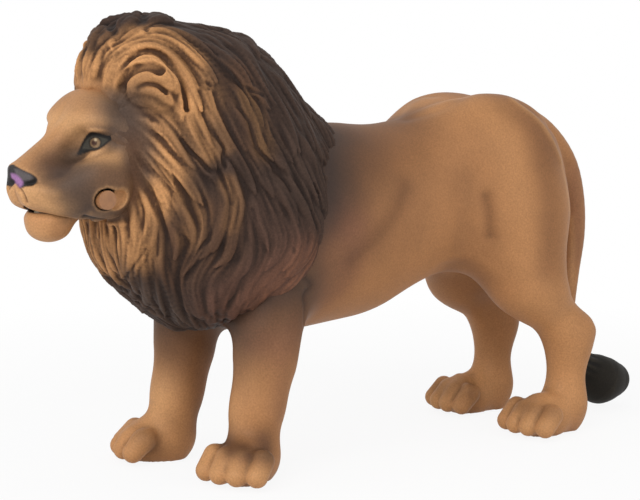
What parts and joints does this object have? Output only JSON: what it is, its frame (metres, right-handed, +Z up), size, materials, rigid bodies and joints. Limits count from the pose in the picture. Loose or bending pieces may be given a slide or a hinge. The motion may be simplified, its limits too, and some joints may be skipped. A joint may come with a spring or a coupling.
{
  "type": "toy lion figure",
  "caption": "Standing toy male lion in soft vinyl with a full mane, a hanging tufted tail and a lower jaw that swings open on two cheek pegs.",
  "frame": {"origin": "on the ground under the middle of the figure's length and width", "axes": "+Z up, the lion faces -Y, its left side is +X, and the jaw hinges about X"},
  "size_m": [0.0664, 0.2306, 0.1329],
  "materials": {
    "body_vinyl": "tan soft vinyl with brown airbrushed shading",
    "face_vinyl": "light tan soft vinyl with painted eyes, nose and brows",
    "mane_vinyl": "dark brown soft vinyl with tan dry-brushed locks",
    "tuft_vinyl": "near-black soft vinyl",
    "mouth_vinyl": "dull red paint with a light gloss",
    "tooth_vinyl": "ivory paint with a light gloss",
    "peg_plastic": "light tan moulded plastic"
  },
  "bodies": {
    "figure": {"rear_body": "body_vinyl", "chest_body": "body_vinyl", "left_foreleg": "body_vinyl", "right_foreleg": "body_vinyl", "left_hind_leg": "body_vinyl", "right_hind_leg": "body_vinyl", "mane": "mane_vinyl", "head": "face_vinyl", "palate": "mouth_vinyl", "upper_teeth": "tooth_vinyl", "tail": "body_vinyl", "tail_tuft": "tuft_vinyl"},
    "jaw": {"lower_jaw": "face_vinyl", "lower_teeth": "tooth_vinyl", "tongue": "mouth_vinyl", "left_jaw_peg": "peg_plastic", "right_jaw_peg": "peg_plastic"}
  },
  "joints": [
    {"name": "jaw_hinge", "type": "hinge", "parent": "figure", "child": "jaw", "pos_m": [0, -0.0957, 0.0825], "axis": [1, 0, 0], "range_deg": [0, 26]}
  ]
}
